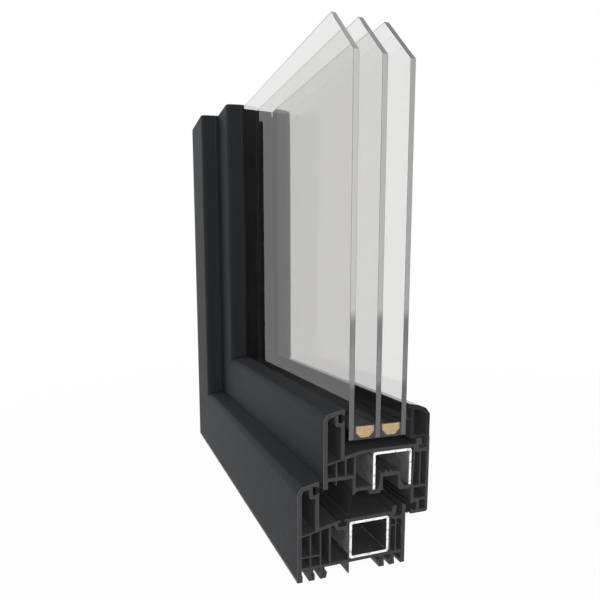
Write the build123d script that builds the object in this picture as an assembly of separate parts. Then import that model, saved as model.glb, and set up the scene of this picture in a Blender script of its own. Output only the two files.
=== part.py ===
from build123d import *
from math import radians, tan
import os

# Cut-away corner of a triple-glazed PVC window. A sill leg and a jamb leg meet in a welded mitre,
# and the free end of each leg is sawn square, so every profile shows its chambers.
#
# Sections are drawn as (depth, height): depth runs from the outside towards the room, height from
# the outer edge of the window towards the glass. The same section makes the sill leg along X and,
# mirrored in the mitre plane, the jamb leg along Z. All lengths are millimetres.

# The two legs
sill_length = 386
jamb_length = 386

# Outer lip, the same on frame and sash: a foil-covered skin with a rounded nose and a seal groove.
# Behind it a ledge falls outwards from the flat web to the lip.
lip_depth = 15.4
lip_rise = 29.6
lip_wall = 2.8
skin = 3.1
nose_radius = 6
foil = 0.3
foil_margin = 2
fall = tan(radians(12))
ledge_drop = 3.1
ledge_web = 2.3
cover_web = 1.2
rib = 1.1
groove_depth = 3.1
groove_height = 5.9
groove_drop = 3.3
groove_lip = 1.6
groove_wall = 2.4
groove_hook = 1.2
groove_hook_top = 0.8

# Frame profile
frame_depth = 82
frame_web_height = 39.8
frame_web = 2.2
frame_floor = 2.1
frame_rear_wall = 2.8
frame_rear_rise = 4.8
frame_cells = (5.6, 6.2, 5.6)
frame_rear_cells = (4.3, 3.5)
frame_shelf = 9.3
pad_bottom = 10.5
pad_top = 18
foot_height = 8
foot_width = 3.7
clip_width = 4.2
clip_bulge = 0.8
clip_pitch = 8.2
clip_bore = 0.7

# Steel tube in the frame, in the chamber between the centre groove and the room-side cells
tube_wall = 1.3
centre_place = 32.7
centre_width = 6.7
centre_height = 3
centre_mouth = 3.3
centre_lip = 1.8
centre_wall = 1.7
centre_floor = 2.6

# Upstand and channel for the fittings on the frame
upstand_width = 4
upstand_height = 3.9
upstand_waist = 0.9
channel_width = 4.2
channel_depth = 3.8

# Sash profile, drawn from the bottom corner of its own outside face
sash_offset = 18.2
sash_lap = 8.8
sash_depth = 82
sash_web_height = 51.6
sash_web = 2.3
sash_rear_wall = 2.3
sash_skin_foot = 27.2
sash_low_web = 34.8
sash_low_wall = 2.5
sash_cells = (6, 5.8, 5.5)
drip_rib_height = 3.1
stop_depth = 14.4
stop_tongue = 19.4
stop_web = 2.4

# Hardware groove of the sash: a web, a trough that holds the steel's foot, and an arch
hardware_web_height = 25.3
hardware_web = 2.4
stub_height = 20.6
trough_left = 34.4
trough_floor = 22.1
arch_left = 42.7
arch_width = 16.6
arch_top = 33.6
arch_wall = 2.2
arch_crown = 2.9
lean = 1.4

# Bead channel at the room side of the sash
bead_channel_depth = 3.4
bead_channel_width = 4.1
bead_upstand_width = 4.4
bead_upstand_height = 4
bead_notch = 2.2
bead_seat = 4.6

# Glazing bead
bead_inset = 0.3
bead_wall = 2.3
bead_drop = 0.1
bead_hook = 3.9
bead_space = 4.2

# Steel stiffeners
steel_wall = 1.8
steel_corner = 1.8
steel_clearance = 0.3
steel_setback = 6

# Glass unit
pane = 4
pane_gap = 16
glass_lift = 7.5
pane_seal = 2.9
spacer_height = 9.7
spacer_lift = 1.1
spacer_slope = 3.6
spacer_wall = 0.4
butyl = 1
pane_top_drop = 8
pane_corner_cut = 36.5
block_length = 100
block_start = 150

# Clearance of a soft seal in its groove and against the face it touches
seal_clearance = 0.2

# Places that follow from the sizes above
frame_rear_height = frame_web_height + frame_rear_rise
sash_rise = frame_rear_height - sash_lap
overall_depth = sash_offset + sash_depth
unit_front = sash_offset + lip_depth + pane_seal
unit_back = unit_front + 3 * pane + 2 * pane_gap
glass_edge = sash_rise + sash_web_height + glass_lift
centre_right = centre_place + centre_width / 2
tube_left = centre_right + centre_wall
frame_room_side = frame_depth - frame_rear_wall
tube_right = frame_room_side - sum(frame_rear_cells) - rib - tube_wall
sash_room_side = sash_depth - sash_rear_wall
sash_main_right = sash_depth - stop_depth + 0.2
mitre = Plane(origin=(0, 0, 0), z_dir=(1, 0, -1))
in_sash = Pos(sash_offset, sash_rise)


def outline(*corners):
    """Face through (depth, height) corners, where a third number rounds that corner."""
    face = make_face(Polyline(*[corner[:2] for corner in corners], close=True))
    for corner in corners:
        if len(corner) == 3:
            vertex = face.vertices().sort_by_distance((corner[0], corner[1], 0))[0]
            face = fillet(vertex, corner[2])
    return face


def box(left, bottom, right, top):
    """Rectangle from its lower left to its upper right corner."""
    return outline((left, bottom), (right, bottom), (right, top), (left, top))


# The outer lip, placed by the height of the flat web behind it
def ledge(depth, web):
    """Height of the ledge that falls outwards, which ends at the flat web."""
    return min(web, web - ledge_drop + (depth - lip_depth) * fall)


def ledge_end(web):
    """Depth where the ledge meets the flat web."""
    return lip_depth + ledge_drop / fall


def lip_block(low, web):
    """Solid outline of the lip from low up to its tip, without its hollows."""
    tip = web + lip_rise
    return outline(
        (0, low),
        (0, tip - lip_depth * fall, nose_radius),
        (lip_depth, tip, 0.5),
        (lip_depth, low),
    )


def lip_foil(low, web):
    """Coloured laminate on the outside face and round the nose."""
    tip = web + lip_rise
    path = FilletPolyline(
        (0, low),
        (0, tip - lip_depth * fall),
        (lip_depth - 2 * foil, tip - 2 * foil * fall),
        radius=nose_radius,
    )
    return make_face(offset(path, foil, side=Side.RIGHT))


def lip_hollows(web):
    """Chamber of the lip, and the seal groove in its inner side."""
    tip = web + lip_rise
    wall = lip_depth - lip_wall
    groove_floor = tip - groove_drop - groove_height
    shoulder = lip_depth - groove_lip - groove_depth - groove_wall

    def under_nose(depth):
        return tip - skin - (lip_depth - depth) * fall

    chamber = outline(
        (skin, ledge(skin, web) - ledge_web + cover_web),
        (wall, ledge(wall, web) - ledge_web + cover_web),
        (wall, groove_floor - groove_wall),
        (shoulder, groove_floor - groove_wall, 2),
        (shoulder, under_nose(shoulder)),
        (skin, under_nose(skin), nose_radius - skin),
    )
    back = lip_depth - groove_lip - groove_depth
    groove = box(back, groove_floor, lip_depth - groove_lip, groove_floor + groove_height)
    mouth = box(
        back,
        groove_floor + groove_hook,
        lip_depth + 1,
        groove_floor + groove_height - groove_hook_top,
    )
    return chamber + groove + mouth


def lip_seal_root(web):
    """Neck and barbs of a seal in the lip's groove, drawn with the lip."""
    floor = web + lip_rise - groove_drop - groove_height
    inner = lip_depth - groove_lip
    middle = floor + (groove_height + groove_hook - groove_hook_top) / 2
    reach = groove_height / 2 - seal_clearance - 0.2
    neck = box(
        inner - 0.5,
        floor + groove_hook + seal_clearance,
        lip_depth + 0.6,
        floor + groove_height - groove_hook_top - seal_clearance,
    )
    barbs = outline(
        (inner - seal_clearance, middle - reach),
        (inner - seal_clearance, middle + reach),
        (inner - 1.6, middle + reach),
        (inner - 0.9, middle),
        (inner - 1.6, middle - reach),
    )
    return neck + barbs


def cell_row(left, widths, floor, ceiling):
    """Row of thin chambers from left to right, each under a sloping ceiling."""
    cells = Sketch()
    for width in widths:
        right = left + width
        cells += outline(
            (left, floor),
            (right, floor),
            (right, ceiling(right)),
            (left, ceiling(left)),
        )
        left = right + rib
    return cells


# Frame profile
def clip_foot(start, side, bulge):
    """Undercut foot under the floor, with its bore and slit; it bulges towards side."""

    def at(offset_from_start):
        return start + side * offset_from_start

    neck = clip_width * 0.6
    foot = outline(
        (at(0), 0),
        (at(0.7), foot_height + 1),
        (at(0.7 + neck), foot_height + 1),
        (at(0.7 + neck), 6),
        (at(clip_width + bulge), 4.3),
        (at(clip_width + bulge), 3),
        (at(clip_width), 0),
    )
    middle = at(clip_width * 0.6)
    bore = Pos(middle, 2) * Circle(clip_bore)
    slit = box(middle - 0.2, 2, middle + 0.2, foot_height)
    return foot - bore - slit


def frame_feet():
    """The six clip feet, the thin middle leg and the two wall feet."""
    room = frame_depth
    feet = clip_foot(clip_pitch, 1, 0.1) + clip_foot(2 * clip_pitch, 1, clip_bulge)
    feet += clip_foot(room - 2 * clip_pitch, -1, clip_bulge)
    feet += clip_foot(room - clip_pitch, -1, clip_bulge)
    feet += box(tube_left - 0.7, 0.2, tube_left + 0.2, foot_height + 1)
    feet += outline(
        (0, 0),
        (foot_width, 0),
        (foot_width, 4.2),
        (skin, 5.6),
        (skin, foot_height + 1),
        (0, foot_height + 1),
    )
    feet += outline(
        (room, 0),
        (room - foot_width + 0.3, 0),
        (room - foot_width - 0.3, 2.5),
        (room - frame_rear_wall, 4.6),
        (room - frame_rear_wall, foot_height + 1),
        (room, foot_height + 1),
    )
    return feet


def frame_block():
    """Frame section without its hollows: floor, ledge, web, upstand and room-side wall."""
    web = frame_web_height
    room = frame_depth
    channel_floor = web - channel_depth
    upstand_right = frame_room_side - channel_width
    waist = upstand_right - upstand_waist
    base = outline(
        (0, foot_height),
        (room, foot_height),
        (room, channel_floor),
        (waist, channel_floor),
        (waist - 1.2, channel_floor + 1),
        (waist, channel_floor + 2),
        (waist, web + 0.2),
        (upstand_right, web + upstand_height),
        (upstand_right - upstand_width, web + upstand_height),
        (upstand_right - upstand_width + 0.2, web),
        (ledge_end(web), web),
        (0, ledge(0, web)),
    )
    wall = outline(
        (frame_room_side, foot_height),
        (room, foot_height),
        (room, frame_rear_height - 1.3),
        (frame_room_side + 0.4, frame_rear_height),
        (frame_room_side, frame_rear_height - 0.4),
    )
    return base + wall + lip_block(foot_height, web)


def frame_hollows():
    """Hollows of the frame section, from the outside to the room side."""
    web = frame_web_height
    floor = foot_height + frame_floor

    def ceiling(depth):
        return ledge(depth, web) - ledge_web

    front = cell_row(skin, frame_cells, floor, ceiling)
    shelf = foot_height + frame_shelf
    shelf_end = skin + frame_cells[0] + rib + frame_cells[1]
    front -= box(skin, shelf - rib / 2, shelf_end, shelf + rib / 2)

    main_left = skin + sum(frame_cells) + 2 * rib + 1.5
    groove_floor = web - centre_lip - centre_height
    groove_left = centre_place - centre_width / 2
    flank = groove_left - centre_wall - 1.4
    main = outline(
        (main_left, floor),
        (tube_right, floor),
        (tube_right, web - frame_web),
        (tube_left, web - frame_web),
        (tube_left, groove_floor - centre_floor, 0.8),
        (groove_left - 0.8, groove_floor - centre_floor, 0.8),
        (flank, ceiling(flank)),
        (main_left, ceiling(main_left)),
    )
    main -= box(tube_left - 0.8, floor, tube_left, floor + 3)

    channel_floor = web - channel_depth
    rear_ceiling = channel_floor - ledge_web
    room_cell, inner_cell = frame_rear_cells
    pad = frame_room_side - 0.5
    room_left = frame_room_side - room_cell
    rear = outline(
        (room_left, floor),
        (frame_room_side, floor),
        (frame_room_side, floor + pad_bottom),
        (pad, floor + pad_bottom + 0.5),
        (pad, floor + pad_top - 0.5),
        (frame_room_side, floor + pad_top),
        (frame_room_side, rear_ceiling),
        (room_left, rear_ceiling),
    )
    inner_right = room_left - rib
    inner_left = inner_right - inner_cell
    inner = outline(
        (inner_left, floor),
        (inner_right, floor),
        (inner_right, rear_ceiling),
        (inner_right - 1.3, rear_ceiling),
        (inner_left, rear_ceiling + 1.6),
    )
    inner -= box(inner_left, rear_ceiling - 4.9, inner_right, rear_ceiling - 3.8)

    centre = box(groove_left, groove_floor, centre_right, groove_floor + centre_height)
    centre += box(
        centre_place - centre_mouth / 2,
        groove_floor,
        centre_place + centre_mouth / 2,
        web + 1,
    )
    return front + main + rear + inner + centre + lip_hollows(web)


def frame_section():
    """Frame profile with its feet, chambers, seal grooves and fittings upstand."""
    return frame_block() + frame_feet() - frame_hollows() - frame_foil_section()


def frame_foil_section():
    """Laminate of the frame, which stops above the wall foot's lower edge."""
    return lip_foil(foil_margin, frame_web_height)


def frame_steel_section():
    """Closed steel tube in the frame's main chamber."""
    left = tube_left + steel_clearance
    right = tube_right - steel_clearance
    bottom = foot_height + frame_floor + steel_clearance
    top = frame_web_height - frame_web - steel_clearance
    inner_corner = steel_corner - steel_wall / 2
    tube = outline(
        (left, bottom, steel_corner),
        (right, bottom, steel_corner),
        (right, top, steel_corner),
        (left, top, steel_corner),
    )
    bore = outline(
        (left + steel_wall, bottom + steel_wall, inner_corner),
        (right - steel_wall, bottom + steel_wall, inner_corner),
        (right - steel_wall, top - steel_wall, inner_corner),
        (left + steel_wall, top - steel_wall, inner_corner),
    )
    return tube - bore


# Sash profile, in its own coordinates
def sash_block():
    """Sash section without its hollows, from the skin's foot round to the room-side wall."""
    web = sash_web_height
    room = sash_depth
    tongue = room - stop_depth
    stub_left = skin + sum(sash_cells) + 2 * rib - 0.9
    low_under = sash_low_web - sash_low_wall
    web_under = hardware_web_height - hardware_web
    arch_right = arch_left + arch_width
    upstand_right = sash_room_side - bead_channel_width
    channel_floor = web - bead_channel_depth
    drip = skin + sash_cells[0]
    body = outline(
        (0, low_under),
        (drip - 0.1, low_under),
        (drip - 0.1, low_under - drip_rib_height),
        (drip + 0.9, low_under - drip_rib_height),
        (drip + 0.9, low_under),
        (stub_left, low_under),
        (stub_left, stub_height),
        (stub_left + 1.1, stub_height),
        (stub_left + 3.4, web_under),
        (trough_left, web_under),
        (trough_left, stop_tongue, 1),
        (arch_left + 0.3, stop_tongue),
        (arch_left + 0.6, stop_tongue + 1.8),
        (arch_left + 3.1, stop_tongue + 1.8),
        (arch_left + arch_wall, stop_tongue + 3.6),
        (arch_left + arch_wall, arch_top - arch_crown, 1),
        (arch_right - arch_wall, arch_top - arch_crown, 1),
        (arch_right - arch_wall, stop_tongue + 2.1),
        (arch_right - 0.6, stop_tongue),
        (tongue, stop_tongue),
        (tongue, 8.2),
        (tongue + 0.9, 7.1),
        (tongue + 1.5, 8.3),
        (tongue + 4.8, 8.3),
        (tongue + 4.8, stop_web),
        (tongue + 2.4, stop_web),
        (tongue + 1.2, 3.8),
        (tongue + 0.2, 2.9),
        (tongue - 0.2, 0, 0.8),
        (room, 0, 2),
        (room, web + bead_seat),
        (sash_room_side, web + bead_seat),
        (sash_room_side, channel_floor),
        (upstand_right - bead_notch, channel_floor, 0.6),
        (upstand_right - bead_notch, channel_floor + 2.1),
        (upstand_right, channel_floor + 2.7),
        (upstand_right, web + bead_upstand_height),
        (upstand_right - bead_upstand_width, web + bead_upstand_height),
        (upstand_right - bead_upstand_width, web),
        (ledge_end(web), web),
        (0, ledge(0, web)),
    )
    skin_foot = box(0, sash_skin_foot, skin + 0.4, sash_low_web)
    return body + skin_foot + lip_block(sash_low_web, web)


def sash_hollows():
    """Hollows of the sash section, from the outside to the room side."""
    web = sash_web_height
    top = web - sash_web
    tongue_top = stop_tongue + 2.7
    lean_wall = sash_main_right + lean

    def ceiling(depth):
        return min(top, ledge(depth, web) - ledge_web)

    cells = cell_row(skin, sash_cells, sash_low_web, ceiling)
    left = skin + sum(sash_cells) + 3 * rib + 0.3
    arch_right = arch_left + arch_width
    main = outline(
        (left, hardware_web_height),
        (trough_left + hardware_web, hardware_web_height),
        (trough_left + hardware_web, trough_floor),
        (arch_left - 2.2, trough_floor),
        (arch_left - 0.6, trough_floor + 2.6),
        (arch_left, arch_top - 3),
        (arch_left, arch_top, 1.5),
        (arch_right, arch_top, 1.5),
        (arch_right, tongue_top + 4.4),
        (arch_right + 1.4, tongue_top + 2.4),
        (arch_right + 2.2, tongue_top),
        (sash_main_right, tongue_top),
        (lean_wall, top),
        (ledge_end(web) + 1, top),
        (left, ceiling(left)),
    )
    for nub in (3.8, 7.3):
        main -= box(arch_left + nub, arch_top - 0.1, arch_left + nub + 2, arch_top + 1.4)
    steel_left = trough_left + hardware_web
    main -= outline(
        (steel_left - 2, top),
        (steel_left - 0.2, top),
        (steel_left - 0.2, top - 2.9),
    )

    channel_floor = web - bead_channel_depth - 2.7
    room_web = stop_tongue + 1.7
    cell_left = sash_main_right + 1.2
    mid = sash_room_side - 4.4
    lean_per_height = lean / (top - tongue_top)
    room_left = outline(
        (cell_left, room_web),
        (mid - rib, room_web),
        (mid - rib, channel_floor),
        (cell_left + lean_per_height * (channel_floor - room_web), channel_floor),
    )
    room_right = box(mid, room_web, sash_room_side, channel_floor)
    tongue = sash_depth - stop_depth
    stop_top = box(tongue + 2.4, 11.1, sash_room_side, stop_tongue - 0.3)
    stop_low = box(tongue + 7.4, stop_web, sash_room_side, 9.5)
    return cells + main + room_left + room_right + stop_top + stop_low + lip_hollows(web)


def sash_section():
    """Sash profile with glazing rebate, bead channel, hardware groove and inner stop."""
    return sash_block() - sash_hollows() - sash_foil_section()


def sash_foil_section():
    """Laminate of the sash, which stops above the foot of its skin."""
    return lip_foil(sash_skin_foot + foil_margin, sash_web_height)


def sash_steel_section():
    """Open steel channel that stands in the trough and over the arch."""
    top = sash_web_height - sash_web - steel_clearance
    left = trough_left + hardware_web + steel_clearance
    right = sash_main_right - steel_clearance
    foot = trough_floor + steel_clearance
    inner_corner = steel_corner - steel_wall / 2
    channel = outline(
        (left, foot),
        (left, top, steel_corner),
        (right, top, steel_corner),
        (right, foot),
    )
    inside = outline(
        (left + steel_wall, foot - 1),
        (left + steel_wall, top - steel_wall, inner_corner),
        (right - steel_wall, top - steel_wall, inner_corner),
        (right - steel_wall, foot - 1),
    )
    return channel - inside


# Glazing bead, in the sash's coordinates
def bead_section():
    """Clip-in bead with one chamber, a hooked foot in the sash channel and a seal groove."""
    front = unit_back - sash_offset + bead_space
    back = sash_depth - bead_inset
    low = sash_web_height + bead_upstand_height + 0.2
    high = sash_web_height + lip_rise - bead_drop
    groove_top = high - 2.8
    body = outline(
        (front, low - 0.1),
        (front + bead_wall, low - 0.1),
        (front + bead_wall + 0.4, low + 0.3),
        (back, low + 0.6),
        (back, high - 8.4, 3),
        (back - 3.6, high - 4, 4),
        (back - 9, high - 1.8, 6),
        (front - bead_wall, high),
        (front - bead_wall, groove_top),
        (front, groove_top),
        (front, groove_top - 7.8),
        (front - bead_wall, groove_top - 7.8),
        (front - bead_wall, groove_top - 4.8),
        (front - bead_hook, groove_top - 4.8),
        (front - bead_hook, groove_top - 9.2),
        (front, groove_top - 9.2),
    )
    hook_low = sash_web_height - bead_channel_depth + 0.3
    upstand_right = sash_room_side - bead_channel_width
    foot_left = upstand_right + 1.9
    foot = outline(
        (foot_left, low + 1),
        (foot_left, hook_low + 2),
        (upstand_right - 1, hook_low + 1.5),
        (upstand_right - 1.4, hook_low),
        (foot_left + 1.3, hook_low),
        (foot_left + 1.5, low + 1),
    )
    hollow = outline(
        (front + bead_wall, low + 2.2),
        (back - bead_wall - 0.2, low + 2.2),
        (back - bead_wall - 0.2, high - 8.8, 1),
        (back - 4.6, high - 6),
        (front + bead_wall, high - 4.4),
    )
    return body + foot - hollow


# Seals
def frame_outer_seal_section():
    """Grey bulb seal in the frame's lip that the sash face closes on."""
    tip = frame_web_height + lip_rise
    near = lip_depth + seal_clearance
    touch = sash_offset - seal_clearance
    head = outline(
        (near, tip - 4.5),
        (near, tip - 0.2),
        (touch, tip + 0.6),
        (touch, tip - 3.4),
        (touch - 0.7, tip - 7.6),
        (touch - 1.4, tip - 7.6),
        (touch - 1.2, tip - 5),
    )
    bulb = Pos((near + touch) / 2, tip - 2.6) * Circle((touch - near) / 4)
    return head - bulb + lip_seal_root(frame_web_height)


def centre_seal_section():
    """Black centre seal with a tall lip against the sash."""
    base = frame_web_height + seal_clearance
    bottom = frame_web_height - centre_lip - centre_height + seal_clearance
    foot_half = centre_width / 2 - seal_clearance
    neck_half = centre_mouth / 2 - seal_clearance
    foot = box(centre_place - foot_half, bottom, centre_place + foot_half, bottom + centre_height - 0.4)
    neck = box(centre_place - neck_half, bottom, centre_place + neck_half, base + 0.5)
    touch = sash_offset + skin + sum(sash_cells) + 2 * rib - 0.9 - seal_clearance
    tip = sash_rise + stub_height + 3.4
    lip = outline(
        (centre_place - 4.1, base),
        (centre_right + 2.1, base),
        (centre_right + 2.3, base + 1.6),
        (touch, tip - 3),
        (touch - 0.6, tip),
        (touch - 1.6, tip - 3),
        (centre_right + 0.8, base + 2.2, 1),
        (centre_place, base + 1.7),
        (centre_place - 4.1, base + 1.2),
    )
    return foot + neck + lip


def sash_inner_seal_section():
    """Black bulb seal in the sash's inner stop that closes on the frame's room-side face."""
    groove_left = sash_offset + sash_depth - stop_depth + 1.5
    bottom = sash_rise + stop_web
    touch = frame_depth + seal_clearance
    foot = outline(
        (groove_left + 1.2, bottom + 0.3),
        (groove_left + 3.1, bottom + 0.3),
        (groove_left + 3.1, bottom + 5.7),
        (groove_left + 0.3, bottom + 5.7),
        (groove_left + 0.3, bottom + 1.4),
    )
    neck = box(groove_left - 2, bottom + 1.8, groove_left + 1, bottom + 4.3)
    near = groove_left - 2
    head = outline(
        (touch, bottom + 0.6, 0.6),
        (touch + 1.2, bottom - 1.8),
        (near, bottom + 1),
        (near + 0.3, bottom + 4.3),
        (near, bottom + 7),
        (touch + 0.8, bottom + 8),
        (touch, bottom + 6.2),
    )
    bulb = Pos((touch + near) / 2, bottom + 2.8) * Circle((near - touch) / 4)
    return foot + neck + (head - bulb)


def glazing_seal_section():
    """Outer glazing seal between the sash lip and the outer pane, in the sash's coordinates."""
    tip = sash_web_height + lip_rise
    near = lip_depth + seal_clearance
    touch = lip_depth + pane_seal - seal_clearance
    head = outline(
        (near, tip - 0.2),
        (touch, tip + 0.3),
        (touch, tip - 14),
        (touch - 1, tip - 14),
        (near, tip - 8.4),
    )
    bulb = outline(
        (near + 0.7, tip - 3.9),
        (touch - 0.7, tip - 3.9),
        (touch - 0.7, tip - 2),
        (near + 0.7, tip - 2),
    )
    return head - bulb + lip_seal_root(sash_web_height)


def bead_seal_section():
    """Inner glazing seal between the bead and the room-side pane, in the sash's coordinates."""
    touch = unit_back - sash_offset + seal_clearance
    front = touch - seal_clearance + bead_space
    high = sash_web_height + lip_rise - bead_drop
    groove_top = high - 2.8
    head = box(touch, groove_top - 4.6, front - bead_wall - seal_clearance, high + 0.3)
    foot = box(
        front - bead_wall - seal_clearance,
        groove_top - 4.6,
        front - seal_clearance,
        groove_top - seal_clearance,
    )
    return head + foot


# Glass unit
def spacer_outline(cavity, inset):
    """Outline of a warm-edge spacer with sloping lower corners, drawn in by inset."""
    left = unit_front + pane + cavity * (pane + pane_gap) + butyl + inset
    right = left + pane_gap - 2 * (butyl + inset)
    low = glass_edge + spacer_lift + inset
    high = glass_edge + spacer_height - inset
    return outline(
        (left, low + spacer_slope),
        (left + spacer_slope, low),
        (right - spacer_slope, low),
        (right, low + spacer_slope),
        (right, high),
        (left, high),
    )


def spacer_section(cavity):
    """Thin spacer wall round its filling, in the first or second cavity."""
    return spacer_outline(cavity, 0) - spacer_outline(cavity, spacer_wall)


def desiccant_section(cavity):
    """Granular filling of the spacer."""
    return spacer_outline(cavity, spacer_wall)


def sealant_section(cavity):
    """Edge sealant that bonds the panes below and beside the spacer."""
    left = unit_front + pane + cavity * (pane + pane_gap)
    bed = box(left, glass_edge, left + pane_gap, glass_edge + spacer_height)
    return bed - spacer_outline(cavity, 0)


def pane_sheet(front):
    """One pane: its top runs down to a cut-off corner, its side is flush with the sill's end."""
    apex_z = jamb_length - pane_top_drop
    sheet = make_face(
        Polyline(
            (glass_edge, glass_edge),
            (sill_length, glass_edge),
            (sill_length, apex_z - pane_corner_cut),
            (sill_length - pane_corner_cut, apex_z),
            (glass_edge, jamb_length),
            close=True,
        )
    )
    return Pos(0, front + pane, 0) * extrude(Plane.XZ * sheet, pane)


def glazing_block():
    """Block on the rebate floor that carries the panes."""
    floor = sash_rise + sash_web_height
    section = box(unit_front - 1, floor, unit_back + 1, floor + glass_lift)
    return Pos(block_start, 0, 0) * extrude(Plane.YZ * section, block_length)


# Legs
def sill_leg(section, length, setback=0):
    """Bar along X, mitred at the corner and square at its far end."""
    bar = extrude(Plane.YZ * section, length)
    cut = Plane(origin=(setback, 0, 0), z_dir=(1, 0, -1))
    return split(bar, bisect_by=cut, keep=Keep.TOP)


def write(name, solid):
    """Move a piece so that the origin is under the middle of the part, and write it."""
    placed = Pos(-sill_length / 2, -overall_depth / 2, 0) * solid
    export_step(placed, f"parts/{name}.step")


def write_legs(sill_name, jamb_name, section, setback=0):
    """Write the sill leg of a section and the jamb leg, the same bar mirrored upright."""
    write(sill_name, sill_leg(section, sill_length, setback))
    write(jamb_name, mirror(sill_leg(section, jamb_length, setback), about=mitre))


os.makedirs("parts", exist_ok=True)

write_legs("frame_sill", "frame_jamb", frame_section())
write_legs("frame_sill_foil", "frame_jamb_foil", frame_foil_section())
write_legs("frame_sill_steel", "frame_jamb_steel", frame_steel_section(), steel_setback)
write_legs("sash_rail", "sash_stile", in_sash * sash_section())
write_legs("sash_rail_foil", "sash_stile_foil", in_sash * sash_foil_section())
write_legs("sash_rail_steel", "sash_stile_steel", in_sash * sash_steel_section(), steel_setback)
write_legs("glazing_bead_bottom", "glazing_bead_side", in_sash * bead_section())
write_legs("frame_outer_seal_bottom", "frame_outer_seal_side", frame_outer_seal_section())
write_legs("centre_seal_bottom", "centre_seal_side", centre_seal_section())
write_legs("sash_inner_seal_bottom", "sash_inner_seal_side", sash_inner_seal_section())
write_legs("glazing_seal_bottom", "glazing_seal_side", in_sash * glazing_seal_section())
write_legs("bead_seal_bottom", "bead_seal_side", in_sash * bead_seal_section())

for cavity, place in enumerate(("outer", "inner")):
    write_legs(f"spacer_{place}_bottom", f"spacer_{place}_side", spacer_section(cavity))
    write_legs(f"desiccant_{place}_bottom", f"desiccant_{place}_side", desiccant_section(cavity))
    write_legs(f"edge_sealant_{place}_bottom", f"edge_sealant_{place}_side", sealant_section(cavity))

for number, place in enumerate(("outer", "middle", "inner")):
    write(f"glass_pane_{place}", pane_sheet(unit_front + number * (pane + pane_gap)))

write("glazing_block_bottom", glazing_block())
write("glazing_block_side", mirror(glazing_block(), about=mitre))
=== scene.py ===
"""Finishes, small parts and studio for the cut-away corner of a triple-glazed PVC window."""

import random
from math import pi, radians

import bmesh
import bpy
from bpy.props import FloatProperty, FloatVectorProperty, PointerProperty
from mathutils import Matrix, Vector


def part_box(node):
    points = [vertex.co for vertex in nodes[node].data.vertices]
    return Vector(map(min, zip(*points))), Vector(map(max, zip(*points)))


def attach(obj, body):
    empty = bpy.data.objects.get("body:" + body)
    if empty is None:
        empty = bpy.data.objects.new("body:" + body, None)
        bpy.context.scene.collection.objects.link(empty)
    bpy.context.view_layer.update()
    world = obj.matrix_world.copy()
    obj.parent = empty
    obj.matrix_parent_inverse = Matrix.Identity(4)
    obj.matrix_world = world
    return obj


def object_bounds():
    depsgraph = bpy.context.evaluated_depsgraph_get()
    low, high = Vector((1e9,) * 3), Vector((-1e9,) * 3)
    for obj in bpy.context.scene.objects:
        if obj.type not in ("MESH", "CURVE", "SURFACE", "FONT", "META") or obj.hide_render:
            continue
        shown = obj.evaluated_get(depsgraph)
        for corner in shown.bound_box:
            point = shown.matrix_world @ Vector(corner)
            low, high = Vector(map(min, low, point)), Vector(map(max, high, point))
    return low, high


bl_info = {
    "name": "Window Corner Finishes",
    "version": (1, 0, 0),
    "blender": (4, 5, 0),
    "location": "View3D > Sidebar > Window",
    "description": "Materials, glass edges, drying beads and studio for a window corner section",
    "category": "Object",
}

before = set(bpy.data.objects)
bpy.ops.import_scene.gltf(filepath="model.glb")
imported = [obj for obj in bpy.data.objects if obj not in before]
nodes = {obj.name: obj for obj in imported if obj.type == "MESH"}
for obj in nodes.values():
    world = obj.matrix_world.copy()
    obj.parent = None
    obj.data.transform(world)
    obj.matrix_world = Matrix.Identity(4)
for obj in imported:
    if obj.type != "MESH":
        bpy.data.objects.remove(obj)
cad_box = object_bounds()

# The square cut ends of the two legs, and the mitre between them
SILL_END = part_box("frame_sill")[1].x
JAMB_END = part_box("frame_jamb")[1].z
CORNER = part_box("frame_sill")[0].x
# Factors on the coordinates that draw a grain out into lines along each leg
LEGS = {
    "sill": (0.02, 1, 1),
    "jamb": (1, 1, 0.02),
}


def leg_of(name):
    """The leg that a node belongs to: the jamb's nodes end in jamb, stile or side."""
    upright = any(word in name for word in ("jamb", "stile", "side"))
    return "jamb" if upright else "sill"


def connect(entry, value):
    """Give an input socket a link, a number or a colour."""
    if isinstance(value, Signal):
        entry.id_data.links.new(value.socket, entry)
    else:
        entry.default_value = value


class Signal:
    """An output socket. Arithmetic and comparisons on it add Math nodes to its tree."""

    def __init__(self, socket):
        self.socket = socket

    def maths(self, operation, *values):
        node = self.socket.id_data.nodes.new("ShaderNodeMath")
        node.operation = operation
        for entry, value in zip(node.inputs, values):
            connect(entry, value)
        return Signal(node.outputs[0])

    def __add__(self, other):
        return self.maths("ADD", self, other)

    __radd__ = __add__

    def __sub__(self, other):
        return self.maths("SUBTRACT", self, other)

    def __rsub__(self, other):
        return self.maths("SUBTRACT", other, self)

    def __mul__(self, other):
        return self.maths("MULTIPLY", self, other)

    __rmul__ = __mul__

    def __pow__(self, other):
        return self.maths("POWER", self, other)

    def __abs__(self):
        return self.maths("ABSOLUTE", self)

    def __gt__(self, other):
        return self.maths("GREATER_THAN", self, other)

    def __lt__(self, other):
        return self.maths("LESS_THAN", self, other)

    def __or__(self, other):
        return self.maths("MAXIMUM", self, other)

    def __and__(self, other):
        return self.maths("MINIMUM", self, other)


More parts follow.
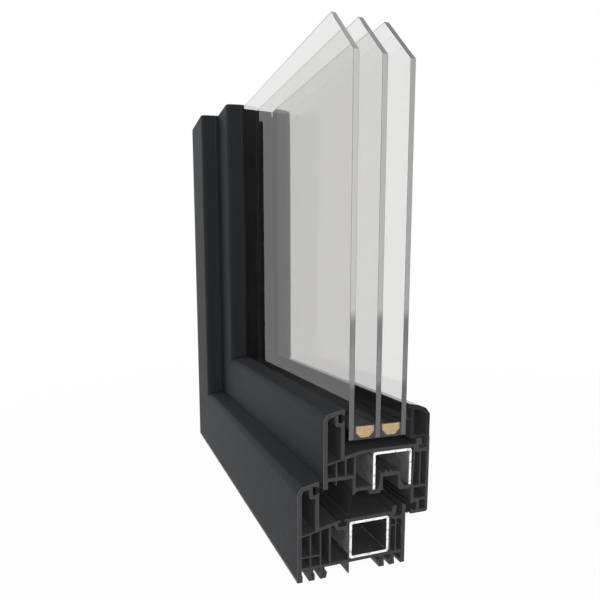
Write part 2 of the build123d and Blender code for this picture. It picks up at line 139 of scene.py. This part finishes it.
class Nodes:
    """The node tree of a material or of the world while it is built."""

    def __init__(self, tree):
        self.tree = tree
        self.tree.nodes.clear()

    def node(self, kind, settings=None, inputs=None, output=0):
        """Add a node: its settings first, a ramp's stops among them, then its sockets."""
        node = self.tree.nodes.new(f"ShaderNode{kind}")
        for name, value in (settings or {}).items():
            if name == "stops":
                ramp = node.color_ramp.elements
                while len(ramp) < len(value):
                    ramp.new(1)
                for stop, (position, colour) in zip(ramp, value):
                    stop.position = position
                    stop.color = colour
            else:
                setattr(node, name, value)
        for name, value in (inputs or {}).items():
            connect(node.inputs[name], value)
        return Signal(node.outputs[output]) if len(node.outputs) else None

    def seen(self):
        """1 for rays from the camera, a mirror or glass, which show the white background."""
        kinds = ("Is Camera Ray", "Is Glossy Ray", "Is Transmission Ray")
        camera, mirror, glass = (self.node("LightPath", output=kind) for kind in kinds)
        return camera | mirror | glass


class Finish(Nodes):
    """A material while it is built, with the object's own coordinates at hand."""

    def __init__(self, name):
        self.material = bpy.data.materials.new(name)
        self.material.use_nodes = True
        super().__init__(self.material.node_tree)
        self.place = self.node("TexCoord", output="Object")
        self.x, self.y, self.z = self.split(self.place)

    def split(self, vector):
        """The three numbers of a vector."""
        first = self.node("SeparateXYZ", inputs={"Vector": vector})
        return [Signal(out) for out in first.socket.node.outputs]

    def stretched(self, factors):
        """The object's coordinates, stretched along the axes with small factors."""
        return self.node("VectorMath", {"operation": "MULTIPLY"}, {0: self.place, 1: factors})

    def noise(self, size, where=None, detail=2.0, roughness=0.5):
        """Noise with features of about size metres, from 0 to 1."""
        return self.node(
            "TexNoise",
            inputs={
                "Vector": where or self.place,
                "Scale": 1 / size,
                "Detail": detail,
                "Roughness": roughness,
            },
        )

    def cells(self, size, output="Distance", **settings):
        """Cells of about size metres."""
        inputs = {"Vector": self.place, "Scale": 1 / size}
        return self.node("TexVoronoi", settings, inputs, output)

    def mix(self, share, first, second):
        """Blend two colours."""
        return self.node(
            "Mix",
            {"data_type": "RGBA"},
            {0: share, 6: first, 7: second},
            output=2,
        )

    def ramp(self, share, low, high):
        """Map a number so that low gives 0 and high gives 1, and clamp it."""
        return self.node(
            "MapRange",
            inputs={"Value": share, "From Min": low, "From Max": high},
        )

    def bump(self, height, distance):
        """A normal for a height from 0 to 1 that stands for distance metres."""
        return self.node(
            "Bump",
            inputs={"Height": height, "Distance": distance, "Strength": 1.0},
        )

    def cut(self):
        """1 on the sawn ends of the legs, else 0."""
        margin = 0.00005
        return (self.x > SILL_END - margin) | (self.z > JAMB_END - margin)

    def seam(self, width):
        """1 in a band of that width along the mitre, else 0."""
        return abs(self.x - CORNER - self.z) < width

    def surface(self, **sockets):
        """A Principled shader, with socket names written with underscores."""
        named = {name.replace("_", " "): value for name, value in sockets.items()}
        return self.node("BsdfPrincipled", inputs=named)

    def done(self, shader):
        """Send a shader to the material's output."""
        self.node("OutputMaterial", inputs={"Surface": shader})
        return self.material


def scaled(colour, factor):
    """A colour made lighter or darker, with its alpha kept."""
    return tuple(channel * factor for channel in colour[:3]) + (1,)


def dress(names, material):
    """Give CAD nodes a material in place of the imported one."""
    for name in names:
        slots = nodes[name].data.materials
        slots.clear()
        slots.append(material)


def named(*words):
    """CAD nodes whose names hold any of the words, by leg."""
    found = {leg: [] for leg in LEGS}
    for name in sorted(nodes):
        if any(word in name for word in words):
            found[leg_of(name)].append(name)
    return found


def soften(names, width, segments=1):
    """Take the sharpness off a node's edges, as extrusion and grinding leave them."""
    for name in names:
        weld = nodes[name].modifiers.new("Weld", "WELD")
        weld.merge_threshold = 0.000001
        bevel = nodes[name].modifiers.new("Edge radius", "BEVEL")
        bevel.width = width
        bevel.segments = segments
        bevel.limit_method = "ANGLE"
        bevel.angle_limit = radians(35)
        bevel.harden_normals = True


class ProfileSettings(bpy.types.PropertyGroup):
    """Surface of the PVC profiles and of the foil on them."""

    foil_colour: FloatVectorProperty(
        name="Foil colour",
        description="Anthracite of the laminate on the outside faces",
        subtype="COLOR",
        size=4,
        min=0,
        max=1,
        default=(0.0155, 0.0182, 0.0212, 1),
    )
    foil_grain: FloatProperty(
        name="Foil grain",
        description="Size of the fine emboss of the laminate",
        subtype="DISTANCE",
        unit="LENGTH",
        default=0.0013,
    )
    foil_relief: FloatProperty(
        name="Foil relief",
        description="Depth of the laminate's emboss",
        subtype="DISTANCE",
        unit="LENGTH",
        default=0.0003,
    )
    core_colour: FloatVectorProperty(
        name="Core colour",
        description="Extruded surface of the through-coloured PVC",
        subtype="COLOR",
        size=4,
        min=0,
        max=1,
        default=(0.052, 0.053, 0.054, 1),
    )
    sawn_colour: FloatVectorProperty(
        name="Sawn colour",
        description="PVC where the saw has left it matt",
        subtype="COLOR",
        size=4,
        min=0,
        max=1,
        default=(0.041, 0.041, 0.042, 1),
    )
    edge_radius: FloatProperty(
        name="Edge radius",
        description="Rounding that the extrusion tool leaves on the profile's edges",
        subtype="DISTANCE",
        unit="LENGTH",
        default=0.00012,
    )


class SteelSettings(bpy.types.PropertyGroup):
    """Galvanised stiffeners inside the profiles."""

    zinc_colour: FloatVectorProperty(
        name="Zinc colour",
        description="Rolled galvanised face",
        subtype="COLOR",
        size=4,
        min=0,
        max=1,
        default=(0.56, 0.57, 0.58, 1),
    )
    bright_colour: FloatVectorProperty(
        name="Sawn steel colour",
        description="Freshly sawn end of the steel",
        subtype="COLOR",
        size=4,
        min=0,
        max=1,
        default=(0.93, 0.93, 0.93, 1),
    )
    spangle: FloatProperty(
        name="Spangle",
        description="Size of the zinc crystals",
        subtype="DISTANCE",
        unit="LENGTH",
        default=0.005,
    )


class SealSettings(bpy.types.PropertyGroup):
    """Sealing rubbers."""

    black_colour: FloatVectorProperty(
        name="Black rubber",
        description="Centre, inner and bead seals",
        subtype="COLOR",
        size=4,
        min=0,
        max=1,
        default=(0.028, 0.028, 0.029, 1),
    )
    grey_colour: FloatVectorProperty(
        name="Grey rubber",
        description="Outer frame seal and glazing seal",
        subtype="COLOR",
        size=4,
        min=0,
        max=1,
        default=(0.009, 0.009, 0.009, 1),
    )


class GlassSettings(bpy.types.PropertyGroup):
    """The triple glass unit and what bonds it."""

    pane_tint: FloatVectorProperty(
        name="Pane tint",
        description="Light that one face of a pane lets through",
        subtype="COLOR",
        size=4,
        min=0,
        max=1,
        default=(0.896, 0.894, 0.891, 1),
    )
    pane_gloss: FloatProperty(
        name="Pane gloss",
        description="Share of the light that a pane's outside face mirrors, seen square on",
        subtype="FACTOR",
        min=0,
        max=1,
        default=0.12,
    )
    edge_colour: FloatVectorProperty(
        name="Ground edge",
        description="Ground edge of a pane in its upper part",
        subtype="COLOR",
        size=4,
        min=0,
        max=1,
        default=(0.39, 0.38, 0.375, 1),
    )
    # Painted shade: the lower part of a pane's ground edge is painted dark where the rebate
    # shows through it
    edge_painted_shade: FloatVectorProperty(
        name="Edge near the rebate",
        description="Ground edge where the dark rebate shows through it",
        subtype="COLOR",
        size=4,
        min=0,
        max=1,
        default=(0.085, 0.085, 0.085, 1),
    )
    arris: FloatProperty(
        name="Arris",
        description="Seamed bevel along the edges of a pane",
        subtype="DISTANCE",
        unit="LENGTH",
        default=0.0004,
    )
    desiccant_colour: FloatVectorProperty(
        name="Drying agent",
        description="Beige granules in the spacers",
        subtype="COLOR",
        size=4,
        min=0,
        max=1,
        default=(0.42, 0.305, 0.175, 1),
    )
    bead_size: FloatProperty(
        name="Granule size",
        description="Diameter of one granule of drying agent",
        subtype="DISTANCE",
        unit="LENGTH",
        default=0.0006,
    )
    spacer_colour: FloatVectorProperty(
        name="Spacer",
        description="Warm-edge spacer bar",
        subtype="COLOR",
        size=4,
        min=0,
        max=1,
        default=(0.006, 0.006, 0.006, 1),
    )
    sealant_colour: FloatVectorProperty(
        name="Edge sealant",
        description="Grey sealant below and beside the spacers",
        subtype="COLOR",
        size=4,
        min=0,
        max=1,
        default=(0.028, 0.028, 0.028, 1),
    )


class StudioSettings(bpy.types.PropertyGroup):
    """Camera, floor and lamps."""

    camera_place: FloatVectorProperty(
        name="Camera place",
        description="Where the camera stands",
        subtype="XYZ",
        unit="LENGTH",
        default=(0.50886, -0.16297, 0.20104),
    )
    camera_turn: FloatVectorProperty(
        name="Camera turn",
        description="Tilt, roll and heading of the camera",
        subtype="EULER",
        unit="ROTATION",
        default=(radians(82.086), radians(-0.119), radians(69.167)),
    )
    camera_lens: FloatProperty(
        name="Lens",
        description="Focal length on a 36 mm sensor",
        default=32.174,
    )
    camera_shift: FloatVectorProperty(
        name="Shift",
        description="Shift of the frame that the view needs",
        size=2,
        default=(-0.01393, 0.09297),
    )
    sky_strength: FloatProperty(
        name="Sky strength",
        description="Soft light from all round",
        default=0.28,
    )
    key_strength: FloatProperty(
        name="Key light",
        description="Light on the outside faces, where 1 shows a colour as written",
        default=0.5,
    )
    section_strength: FloatProperty(
        name="Section light",
        description="Light on the sawn section, where 1 shows a colour as written",
        default=0.62,
    )
    top_strength: FloatProperty(
        name="Top light",
        description="Light from above, where 1 shows a colour as written",
        default=0.3,
    )
    shadow_share: FloatProperty(
        name="Shadow share",
        description="How much of the floor's own shading shows on the white background",
        subtype="FACTOR",
        min=0,
        max=1,
        default=0.04,
    )


class PVCWINDOW_OT_finish_foils(bpy.types.Operator):
    """Emboss and colour the laminate on the outside faces."""

    bl_idname = "pvc_window.finish_foils"
    bl_label = "Finish Foils"

    def execute(self, context):
        settings = context.scene.window_profiles
        for leg, names in named("foil").items():
            finish = Finish(f"anthracite_foil_{leg}")
            grain = finish.noise(settings.foil_grain, detail=3, roughness=0.6)
            pores = finish.cells(settings.foil_grain * 1.6, feature="SMOOTH_F1")
            cloud = finish.noise(0.05, finish.stretched(LEGS[leg]))
            seam = finish.seam(0.0003)
            tone = finish.ramp(cloud * 0.6 + grain * 0.4, 0.3, 0.7)
            colour = finish.mix(
                tone,
                scaled(settings.foil_colour, 0.90),
                scaled(settings.foil_colour, 1.10),
            )
            relief = grain * 0.65 + pores * 0.35
            colour = finish.mix(finish.cut(), colour, scaled(settings.foil_colour, 5.0))
            shader = finish.surface(
                Base_Color=finish.mix(seam, colour, scaled(settings.foil_colour, 0.35)),
                Roughness=0.52 + grain * 0.16,
                Specular_IOR_Level=0.13,
                Normal=finish.bump(relief - seam, settings.foil_relief),
            )
            dress(names, finish.done(shader))
        return {"FINISHED"}


class PVCWINDOW_OT_finish_profiles(bpy.types.Operator):
    """Give the PVC profiles extruded sides and sawn ends."""

    bl_idname = "pvc_window.finish_profiles"
    bl_label = "Finish Profiles"

    def execute(self, context):
        settings = context.scene.window_profiles
        # For each kind: its nodes' names, its coat, and the shade of its sawn end
        kinds = {
            "pvc_core": (("frame_sill", "frame_jamb", "sash_rail", "sash_stile"), 0.0, 1.0),
            "pvc_bead": (("glazing_bead",), 1.0, 0.55),
        }
        for kind, (words, gloss, shade) in kinds.items():
            for leg, names in named(*words).items():
                names = [name for name in names if not name.endswith(("foil", "steel"))]
                dress(names, self.extruded(f"{kind}_{leg}", leg, settings, gloss, shade))
                soften(names, settings.edge_radius)
        return {"FINISHED"}

    def extruded(self, name, leg, settings, gloss, shade):
        """PVC drawn along the leg, coated by its gloss, and matt and shaded where sawn."""
        finish = Finish(name)
        lines = finish.noise(0.0012, finish.stretched(LEGS[leg]), detail=3)
        saw = finish.noise(0.0009, finish.stretched((0.05, 1, 0.12)), detail=3)
        speck = finish.noise(0.0007, detail=2)
        cut = finish.cut()
        seam = finish.seam(0.00025)
        side = finish.mix(
            lines,
            scaled(settings.core_colour, 0.85),
            scaled(settings.core_colour, 1.15),
        )
        sawn = finish.mix(
            finish.ramp(saw * 0.6 + speck * 0.4, 0.35, 0.65),
            scaled(settings.sawn_colour, 0.84 * shade),
            scaled(settings.sawn_colour, 1.16 * shade),
        )
        colour = finish.mix(cut, side, sawn)
        relief = lines * (1 - cut) * 0.5 + (saw * 0.6 + speck * 0.4) * cut - seam
        shader = finish.surface(
            Base_Color=finish.mix(seam, colour, scaled(settings.core_colour, 0.3)),
            Roughness=0.40 + lines * 0.12 + cut * 0.26,
            Specular_IOR_Level=0.2 - gloss * 0.15,
            Coat_Weight=(1 - cut) * gloss,
            Coat_Roughness=0.15,
            Coat_IOR=1.5,
            Normal=finish.bump(relief, 0.00004),
        )
        return finish.done(shader)


class PVCWINDOW_OT_finish_steels(bpy.types.Operator):
    """Give the stiffeners zinc spangle on their faces and bright sawn ends."""

    bl_idname = "pvc_window.finish_steels"
    bl_label = "Finish Steels"

    def execute(self, context):
        settings = context.scene.window_steels
        for leg, names in named("steel").items():
            finish = Finish(f"galvanised_steel_{leg}")
            crystals = finish.cells(settings.spangle, output="Color")
            crystal = finish.node("RGBToBW", inputs={0: crystals})
            rolled = finish.noise(0.0016, finish.stretched(LEGS[leg]), detail=4, roughness=0.6)
            wear = finish.noise(0.012, detail=4, roughness=0.65)
            saw = finish.noise(0.0011, finish.stretched((0.1, 1, 0.25)), detail=4, roughness=0.7)
            cut = finish.cut()
            bore_painted_shade = self.inside(finish, names)
            zinc = finish.mix(
                finish.ramp(crystal * 0.35 + rolled * 0.35 + wear * 0.3, 0.25, 0.75),
                scaled(settings.zinc_colour, 0.62),
                scaled(settings.zinc_colour, 1.25),
            )
            bright = finish.mix(
                finish.ramp(saw, 0.30, 0.46),
                scaled(settings.bright_colour, 0.62),
                settings.bright_colour,
            )
            specks = finish.noise(0.0035, detail=4, roughness=0.7)
            bright = finish.mix(finish.ramp(specks, 0.52, 0.70), bright, (0.25, 0.25, 0.25, 1))
            # Painted shade: the faces inside the tube are painted near black, and made matt and
            # less metallic
            zinc = finish.mix(bore_painted_shade * 0.92, zinc, (0.012, 0.012, 0.012, 1))
            shader = finish.surface(
                Base_Color=finish.mix(cut, zinc, bright),
                Metallic=0.75 - cut * 0.35 - bore_painted_shade * (1 - cut) * 0.65,
                Roughness=0.42 + crystal * 0.12 + wear * 0.12 + bore_painted_shade * 0.3,
                Specular_IOR_Level=0.1,
                Normal=finish.bump(rolled * (1 - cut) * 0.5 + saw * cut, 0.00003),
            )
            dress(names, finish.done(shader))
            soften(names, 0.00015)
        return {"FINISHED"}

    def inside(self, finish, names):
        """1 on the faces inside the closed tube of the frame, which get painted shade, else 0.
        """
        tube = next(name for name in names if name.startswith("frame"))
        low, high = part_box(tube)
        half_wall = 0.00125
        upright = leg_of(tube) == "jamb"
        height = finish.x if upright else finish.z
        bottom, top = (low.x, high.x) if upright else (low.z, high.z)
        return (
            (finish.y > low.y + half_wall)
            & (finish.y < high.y - half_wall)
            & (height > bottom + half_wall)
            & (height < top - half_wall)
        )


class PVCWINDOW_OT_finish_seals(bpy.types.Operator):
    """Give the seals matt rubber with a fine bloom."""

    bl_idname = "pvc_window.finish_seals"
    bl_label = "Finish Seals"

    def execute(self, context):
        settings = context.scene.window_seals
        kinds = {
            "black_rubber": (settings.black_colour, ("centre_seal", "inner_seal", "bead_seal")),
            "grey_rubber": (settings.grey_colour, ("outer_seal", "glazing_seal")),
        }
        for kind, (colour, words) in kinds.items():
            for leg, names in named(*words).items():
                finish = Finish(f"{kind}_{leg}")
                lines = finish.noise(0.0008, finish.stretched(LEGS[leg]), detail=2)
                bloom = finish.noise(0.004, detail=4)
                cut = finish.cut()
                tone = finish.mix(bloom, scaled(colour, 0.7), scaled(colour, 1.5))
                shader = finish.surface(
                    Base_Color=finish.mix(cut, tone, (0.004, 0.004, 0.004, 1)),
                    Roughness=0.55 + bloom * 0.2,
                    Specular_IOR_Level=0.2,
                    Normal=finish.bump(lines, 0.00003),
                )
                dress(names, finish.done(shader))
                soften(names, 0.00012, 2)
        return {"FINISHED"}


class PVCWINDOW_OT_finish_panes(bpy.types.Operator):
    """Make the panes clear on their faces and ground along their edges."""

    bl_idname = "pvc_window.finish_panes"
    bl_label = "Finish Panes"

    def execute(self, context):
        settings = context.scene.window_glass
        finish = Finish("clear_glass")
        normal = finish.node("NewGeometry", output="Normal")
        back = finish.node("NewGeometry", output="Backfacing")
        _, across, upright = finish.split(normal)
        outside = across < 0
        mirror = finish.node("Fresnel", inputs={"IOR": 1.5})
        smear = finish.noise(0.06, detail=3)
        bent = finish.node(
            "BsdfRefraction",
            inputs={"Color": settings.pane_tint, "IOR": 1.5, "Roughness": 0.0},
        )
        lit = finish.node("BsdfTransparent", inputs={"Color": settings.pane_tint})
        shadow = finish.node("LightPath", output="Is Shadow Ray")
        clear = finish.node("MixShader", inputs={0: shadow, 1: bent, 2: lit})
        gloss = finish.node(
            "BsdfGlossy",
            inputs={"Color": (0.97, 0.97, 0.97, 1), "Roughness": 0.0},
        )
        room_gloss, slant_gloss = 0.02, 0.12
        share = room_gloss + outside * (settings.pane_gloss - room_gloss)
        share = share + mirror * slant_gloss
        share = share * (1 - back) * (0.97 + smear * 0.06)
        face = finish.node("MixShader", inputs={0: share, 1: clear, 2: gloss})

        ground = finish.noise(0.0012, detail=3)
        waves = finish.noise(0.03, finish.stretched((1, 0.05, 1)), detail=2)
        # Painted shade: going down, the ground edge is painted darker in steps between 182 and
        # 128 mm up, for the dark rebate that shows through it
        height = finish.ramp(finish.z + (waves - 0.5) * 0.006, 0.09, 0.21)
        stops = (
            (0.32, settings.edge_painted_shade),
            (0.37, (0.19, 0.19, 0.19, 1)),
            (0.55, (0.17, 0.17, 0.167, 1)),
            (0.60, (0.14, 0.14, 0.14, 1)),
            (0.70, (0.145, 0.145, 0.143, 1)),
            (0.765, settings.edge_colour),
        )
        edge_colour = finish.node("ValToRGB", {"stops": stops}, {0: height})
        # Painted shade: the cut corner's edge and the inner panes' edges are painted darker too
        upward = upright > 0.3
        deeper = finish.ramp(finish.y, -0.012, 0.03)
        edge_colour = finish.mix(
            upward * (0.42 + deeper * 0.4),
            edge_colour,
            settings.edge_painted_shade,
        )
        edge_colour = finish.mix(deeper * 0.4, edge_colour, (0.07, 0.07, 0.07, 1))
        edge = finish.surface(
            Base_Color=finish.mix(ground * 0.1, edge_colour, (0.6, 0.6, 0.6, 1)),
            Roughness=0.3 + ground * 0.15,
            Specular_IOR_Level=0.1,
            Normal=finish.bump(ground, 0.00002),
        )
        inside = finish.node("BsdfTransparent", inputs={"Color": (0.62, 0.615, 0.61, 1)})
        rim = finish.node("MixShader", inputs={0: back, 1: edge, 2: inside})
        shader = finish.node(
            "MixShader",
            inputs={0: abs(across) < 0.8, 1: face, 2: rim},
        )
        panes = [name for name in sorted(nodes) if "glass_pane" in name]
        dress(panes, finish.done(shader))
        soften(panes, settings.arris)
        return {"FINISHED"}


class PVCWINDOW_OT_finish_glass_edge(bpy.types.Operator):
    """Finish the spacers, edge sealant and glazing blocks."""

    bl_idname = "pvc_window.finish_glass_edge"
    bl_label = "Finish Glass Edge"

    def execute(self, context):
        settings = context.scene.window_glass
        for leg, names in named("spacer").items():
            finish = Finish(f"spacer_wall_{leg}")
            lines = finish.noise(0.001, finish.stretched(LEGS[leg]), detail=2)
            colour = finish.mix(
                lines,
                scaled(settings.spacer_colour, 0.7),
                scaled(settings.spacer_colour, 1.5),
            )
            room_side = max(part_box(name)[1].y for name in names)
            bond = finish.ramp(finish.y, room_side - 0.0012, room_side - 0.0004)
            colour = finish.mix(bond, colour, (0.05, 0.05, 0.05, 1))
            shader = finish.surface(
                Base_Color=finish.mix(finish.cut(), colour, (0.05, 0.05, 0.05, 1)),
                Roughness=0.4 + lines * 0.15,
                Specular_IOR_Level=0.25,
                Normal=finish.bump(lines, 0.00003),
            )
            dress(names, finish.done(shader))

        finish = Finish("edge_sealant")
        dimples = finish.noise(0.0025, detail=3)
        fine = finish.noise(0.0006, detail=2)
        shader = finish.surface(
            Base_Color=finish.mix(
                dimples,
                scaled(settings.sealant_colour, 0.8),
                scaled(settings.sealant_colour, 1.25),
            ),
            Roughness=0.5 + fine * 0.2,
            Normal=finish.bump(dimples * 0.7 + fine * 0.3, 0.0001),
        )
        sealant = finish.done(shader)

        finish = Finish("glazing_block")
        mottle = finish.noise(0.002, detail=3)
        shader = finish.surface(
            Base_Color=finish.mix(mottle, (0.006, 0.006, 0.006, 1), (0.016, 0.016, 0.017, 1)),
            Roughness=0.5 + mottle * 0.15,
            Normal=finish.bump(mottle, 0.00006),
        )
        block = finish.done(shader)
        dress([name for name in sorted(nodes) if "edge_sealant" in name], sealant)
        dress([name for name in sorted(nodes) if "glazing_block" in name], block)
        return {"FINISHED"}


class PVCWINDOW_OT_add_drying_beads(bpy.types.Operator):
    """Fill the open ends of the spacers with granules of drying agent."""

    bl_idname = "pvc_window.add_drying_beads"
    bl_label = "Add Drying Beads"

    def execute(self, context):
        settings = context.scene.window_glass
        finish = Finish("desiccant")
        grain = finish.cells(settings.bead_size * 1.1, output="Color")
        shade = finish.node("RGBToBW", inputs={0: grain})
        dust = finish.noise(settings.bead_size * 0.4, detail=2)
        shader = finish.surface(
            Base_Color=finish.mix(
                finish.ramp(shade * 0.7 + dust * 0.3, 0.2, 0.8),
                scaled(settings.desiccant_colour, 0.62),
                scaled(settings.desiccant_colour, 1.25),
            ),
            Roughness=0.75 + dust * 0.15,
            Normal=finish.bump(dust, 0.00005),
        )
        material = finish.done(shader)
        chance = random.Random(7)
        for name in sorted(nodes):
            if "desiccant" in name:
                dress([name], material)
                self.fill(name, settings.bead_size, material, chance)
        return {"FINISHED"}

    def fill(self, name, size, material, chance):
        """Set granules into the sawn end of one spacer filling."""
        low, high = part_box(name)
        upright = leg_of(name) == "jamb"
        # across runs from pane to pane, deep from the glass edge to the cavity
        deep_low, deep_high = (low.x, high.x) if upright else (low.z, high.z)
        end = high.z if upright else high.x
        # The filling's two corners by the glass edge slope in by this much
        slope = 0.0036
        mesh = bmesh.new()
        rows = int((deep_high - deep_low) / (size * 0.86))
        columns = int((high.y - low.y) / size)
        for row in range(rows):
            for column in range(columns):
                across = low.y + (column + 0.5 + 0.5 * (row % 2) - 0.25) * size
                deep = deep_low + (row + 0.5) * size * 0.86
                across += chance.uniform(-0.12, 0.12) * size
                deep += chance.uniform(-0.12, 0.12) * size
                reach = min(across - low.y, high.y - across) - 0.4 * size
                if reach < 0 or deep - deep_low - 0.4 * size < slope - reach:
                    continue
                sunk = end + chance.uniform(-0.55, -0.2) * size
                place = (deep, across, sunk) if upright else (sunk, across, deep)
                turn = Matrix.Rotation(chance.uniform(0, 2 * pi), 4, "X")
                radius = size * chance.uniform(0.5, 0.62)
                bmesh.ops.create_icosphere(
                    mesh,
                    subdivisions=1,
                    radius=radius,
                    matrix=Matrix.Translation(place) @ turn,
                )
        for face in mesh.faces:
            face.smooth = True
        data = bpy.data.meshes.new(name.replace("desiccant", "drying_beads"))
        mesh.to_mesh(data)
        mesh.free()
        data.materials.append(material)
        beads = bpy.data.objects.new(data.name, data)
        bpy.context.scene.collection.objects.link(beads)
        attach(beads, "root")


class PVCWINDOW_OT_set_up_studio(bpy.types.Operator):
    """Set the camera, the white floor and background, and soft lamps."""

    bl_idname = "pvc_window.set_up_studio"
    bl_label = "Set Up Studio"

    def execute(self, context):
        scene = context.scene
        settings = scene.window_studio
        self.set_camera(scene, settings)
        self.set_sky(scene, settings)
        self.lay_floor(scene, settings)
        # For each lamp: its place, size and strength
        lamps = {
            "key_light": ((-0.7, -0.75, 0.8), 0.7, settings.key_strength),
            "section_light": ((0.95, -0.22, 0.34), 0.35, settings.section_strength),
            "top_light": ((0.1, 0.5, 1.9), 1.2, settings.top_strength),
        }
        for name, (place, size, strength) in lamps.items():
            self.hang_lamp(name, Vector(place), size, strength)
        scene.view_settings.view_transform = "Standard"
        return {"FINISHED"}

    def set_camera(self, scene, settings):
        camera = bpy.data.objects.new("camera", bpy.data.cameras.new("camera"))
        camera.location = settings.camera_place
        camera.rotation_euler = settings.camera_turn
        camera.data.sensor_width = 36
        camera.data.lens = settings.camera_lens
        camera.data.shift_x, camera.data.shift_y = settings.camera_shift
        camera.data.clip_start = 0.01
        scene.collection.objects.link(camera)
        scene.camera = camera

    def set_sky(self, scene, settings):
        """A white background for what is seen and mirrored, and a softer light from it."""
        world = bpy.data.worlds.new("studio_sky")
        world.use_nodes = True
        sky = Nodes(world.node_tree)
        soft = settings.sky_strength
        strength = sky.seen() * (1 - soft) + soft
        glow = sky.node("Background", inputs={"Color": (1, 1, 1, 1), "Strength": strength})
        sky.node("OutputWorld", inputs={"Surface": glow})
        scene.world = world

    def lay_floor(self, scene, settings):
        """A long floor, white like the background, on which only a soft shadow shows."""
        corners = ((-4, -4, 0), (4, -4, 0), (4, 4, 0), (-4, 4, 0))
        mesh = bmesh.new()
        mesh.faces.new([mesh.verts.new(corner) for corner in corners])
        data = bpy.data.meshes.new("floor")
        mesh.to_mesh(data)
        mesh.free()
        floor = bpy.data.objects.new("floor", data)
        scene.collection.objects.link(floor)

        finish = Finish("floor_white")
        distance = (finish.x * finish.x + finish.y * finish.y) ** 0.5
        shading = settings.shadow_share * (1 - finish.ramp(distance, 0.3, 1.0))
        matt = finish.surface(Base_Color=(0.8, 0.8, 0.8, 1), Roughness=0.9)
        white = finish.node("Emission", inputs={"Color": (1, 1, 1, 1), "Strength": 1.0})
        shader = finish.node(
            "MixShader",
            inputs={0: finish.seen() * (1 - shading), 1: matt, 2: white},
        )
        data.materials.append(finish.done(shader))

    def hang_lamp(self, name, place, size, strength):
        """A soft square lamp, whose strength of 1 shows a colour that faces it as written."""
        lamp = bpy.data.objects.new(name, bpy.data.lights.new(name, "AREA"))
        away = place - (cad_box[0] + cad_box[1]) / 2
        lamp.location = place
        lamp.rotation_euler = away.to_track_quat("Z", "Y").to_euler()
        lamp.data.size = size
        lamp.data.energy = strength * pi**2 * away.length_squared
        lamp.visible_glossy = False
        lamp.visible_transmission = False
        bpy.context.scene.collection.objects.link(lamp)


class PVCWINDOW_PT_finishes(bpy.types.Panel):
    """Steps and settings of the window corner."""

    bl_idname = "PVCWINDOW_PT_finishes"
    bl_label = "Window Corner"
    bl_space_type = "VIEW_3D"
    bl_region_type = "UI"
    bl_category = "Window"

    def draw(self, context):
        for operator in OPERATORS:
            self.layout.operator(operator.bl_idname)
        for attribute in SETTINGS:
            group = getattr(context.scene, attribute)
            box = self.layout.box()
            for name in group.bl_rna.properties.keys():
                if name not in ("rna_type", "name"):
                    box.prop(group, name)


OPERATORS = (
    PVCWINDOW_OT_set_up_studio,
    PVCWINDOW_OT_finish_foils,
    PVCWINDOW_OT_finish_profiles,
    PVCWINDOW_OT_finish_steels,
    PVCWINDOW_OT_finish_seals,
    PVCWINDOW_OT_finish_panes,
    PVCWINDOW_OT_finish_glass_edge,
    PVCWINDOW_OT_add_drying_beads,
)
SETTINGS = {
    "window_profiles": ProfileSettings,
    "window_steels": SteelSettings,
    "window_seals": SealSettings,
    "window_glass": GlassSettings,
    "window_studio": StudioSettings,
}
CLASSES = (*SETTINGS.values(), *OPERATORS, PVCWINDOW_PT_finishes)


def register():
    for group in CLASSES:
        bpy.utils.register_class(group)
    for attribute, group in SETTINGS.items():
        setattr(bpy.types.Scene, attribute, PointerProperty(type=group))


def unregister():
    for attribute in SETTINGS:
        delattr(bpy.types.Scene, attribute)
    for group in reversed(CLASSES):
        bpy.utils.unregister_class(group)


def main():
    """Register the add-on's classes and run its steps."""
    register()
    bpy.ops.pvc_window.set_up_studio()
    bpy.ops.pvc_window.finish_foils()
    bpy.ops.pvc_window.finish_profiles()
    bpy.ops.pvc_window.finish_steels()
    bpy.ops.pvc_window.finish_seals()
    bpy.ops.pvc_window.finish_panes()
    bpy.ops.pvc_window.finish_glass_edge()
    bpy.ops.pvc_window.add_drying_beads()


if __name__ == "__main__":
    main()
